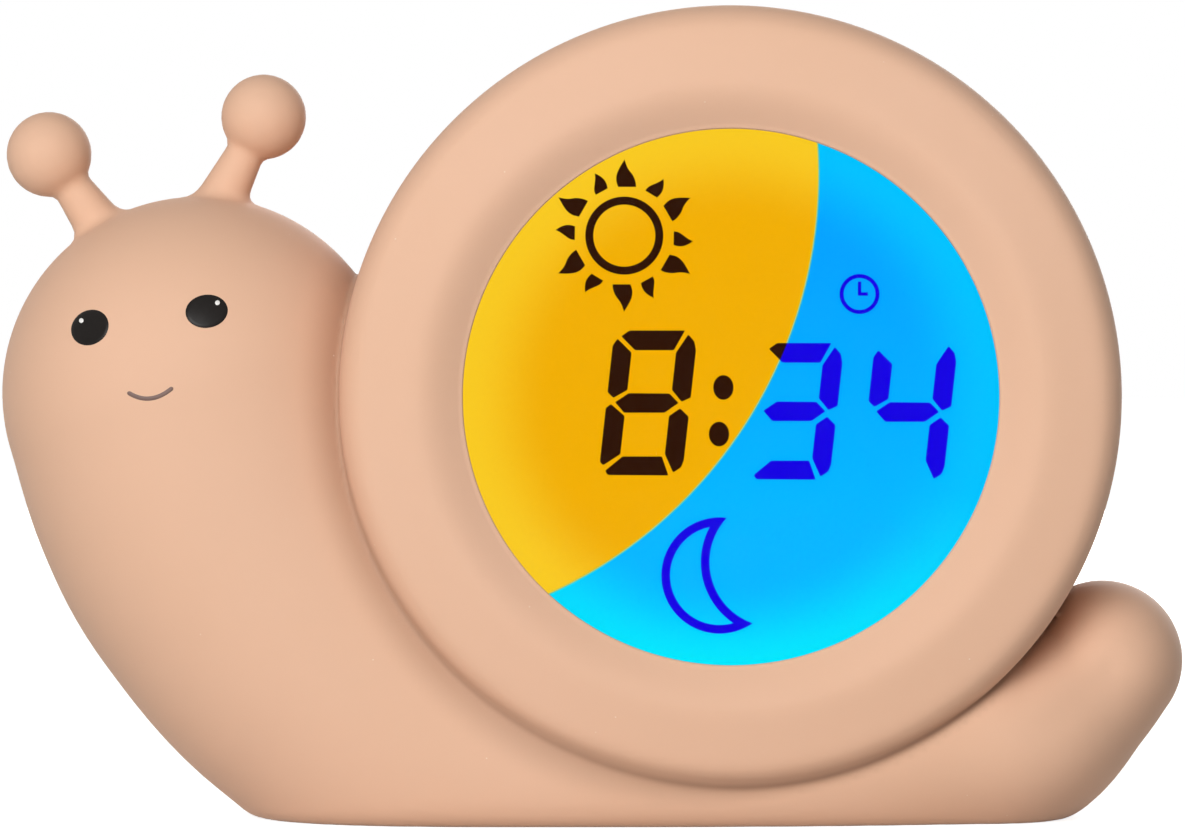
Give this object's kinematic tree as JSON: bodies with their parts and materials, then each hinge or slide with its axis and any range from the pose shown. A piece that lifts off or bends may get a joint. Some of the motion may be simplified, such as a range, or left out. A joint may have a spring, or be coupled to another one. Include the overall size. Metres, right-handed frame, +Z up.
{
  "type": "kids alarm clock with night light",
  "caption": "Snail-shaped silicone alarm clock for a child: round shell with a day and night display, night light, and buttons, speaker and battery door at the back.",
  "frame": {"origin": "on the surface that the clock stands on, below the middle of its length and depth", "axes": "+X from head to tail, +Y to the back, +Z up; the display faces -Y"},
  "size_m": [0.1668, 0.06, 0.1143],
  "materials": {
    "silicone": "matte moulded silicone",
    "case_abs": "fine moulded texture",
    "button_abs": "satin moulded",
    "clear_lens": "clear polished acrylic",
    "display_glass": "clear glass",
    "polariser_film": "clear film",
    "black_foam": "closed-cell foam",
    "day_field": "tinted opal, lit from behind",
    "night_field": "tinted opal, lit from behind",
    "circuit_board": "solder mask",
    "led_package": "moulded package",
    "black_epoxy": "moulded epoxy",
    "black_switch": "moulded nylon",
    "tinned_can": "tinned sheet",
    "flex_film": "polyimide film",
    "zinc_screw": "zinc plated",
    "cone_film": "polyester film",
    "cell_jacket": "plain printed film",
    "nickel_contact": "nickel plated"
  },
  "bodies": {
    "clock": {"silicone_body": "silicone", "front_housing": "case_abs", "rear_housing": "case_abs", "light_box": "case_abs", "display_lens": "clear_lens", "lens_gasket": "black_foam", "speaker_gasket": "black_foam", "front_polariser": "polariser_film", "rear_polariser": "polariser_film", "lcd_front_glass": "display_glass", "lcd_rear_glass": "display_glass", "day_diffuser": "day_field", "night_diffuser": "night_field", "main_board": "circuit_board", "button_board": "circuit_board", "day_leds": "led_package", "night_leds": "led_package", "controller_chip": "black_epoxy", "crystal": "tinned_can", "display_flex": "flex_film", "board_ribbon": "flex_film", "tact_switches": "black_switch", "alarm_switch_body": "tinned_can", "board_screws": "zinc_screw", "housing_screws": "zinc_screw", "speaker_frame": "black_switch", "speaker_cone": "cone_film", "speaker_magnet": "tinned_can", "battery_cells": "cell_jacket", "contact_plates": "nickel_contact", "contact_springs": "nickel_contact"},
    "time_key": {"time_button": "button_abs", "time_plunger": "black_switch"},
    "alarm_key": {"alarm_button": "button_abs", "alarm_plunger": "black_switch"},
    "light_key": {"light_button": "button_abs", "light_plunger": "black_switch"},
    "minus_key": {"minus_button": "button_abs", "minus_plunger": "black_switch"},
    "plus_key": {"plus_button": "button_abs", "plus_plunger": "black_switch"},
    "alarm_switch": {"alarm_switch_knob": "button_abs"},
    "door": {"battery_door": "case_abs", "door_screw": "zinc_screw"}
  },
  "joints": [
    {"name": "time_press", "type": "slide", "parent": "clock", "child": "time_key", "axis": [0, -1, 0], "range_m": [0, 0.0005], "stiffness_N_per_m": 2400, "springref_m": -0.0001},
    {"name": "alarm_press", "type": "slide", "parent": "clock", "child": "alarm_key", "axis": [0, -1, 0], "range_m": [0, 0.0005], "stiffness_N_per_m": 2400, "springref_m": -0.0001},
    {"name": "light_press", "type": "slide", "parent": "clock", "child": "light_key", "axis": [0, -1, 0], "range_m": [0, 0.0005], "stiffness_N_per_m": 2400, "springref_m": -0.0001},
    {"name": "minus_press", "type": "slide", "parent": "clock", "child": "minus_key", "axis": [0, -1, 0], "range_m": [0, 0.0005], "stiffness_N_per_m": 2400, "springref_m": -0.0001},
    {"name": "plus_press", "type": "slide", "parent": "clock", "child": "plus_key", "axis": [0, -1, 0], "range_m": [0, 0.0005], "stiffness_N_per_m": 2400, "springref_m": -0.0001},
    {"name": "alarm_switch_slide", "type": "slide", "parent": "clock", "child": "alarm_switch", "axis": [1, 0, 0], "range_m": [0, 0.0034]},
    {"name": "battery_door_hinge", "type": "hinge", "parent": "clock", "child": "door", "pos_m": [0.01905, 0.0259, 0.0334], "axis": [-1, 0, 0], "range_deg": [0, 95]}
  ]
}
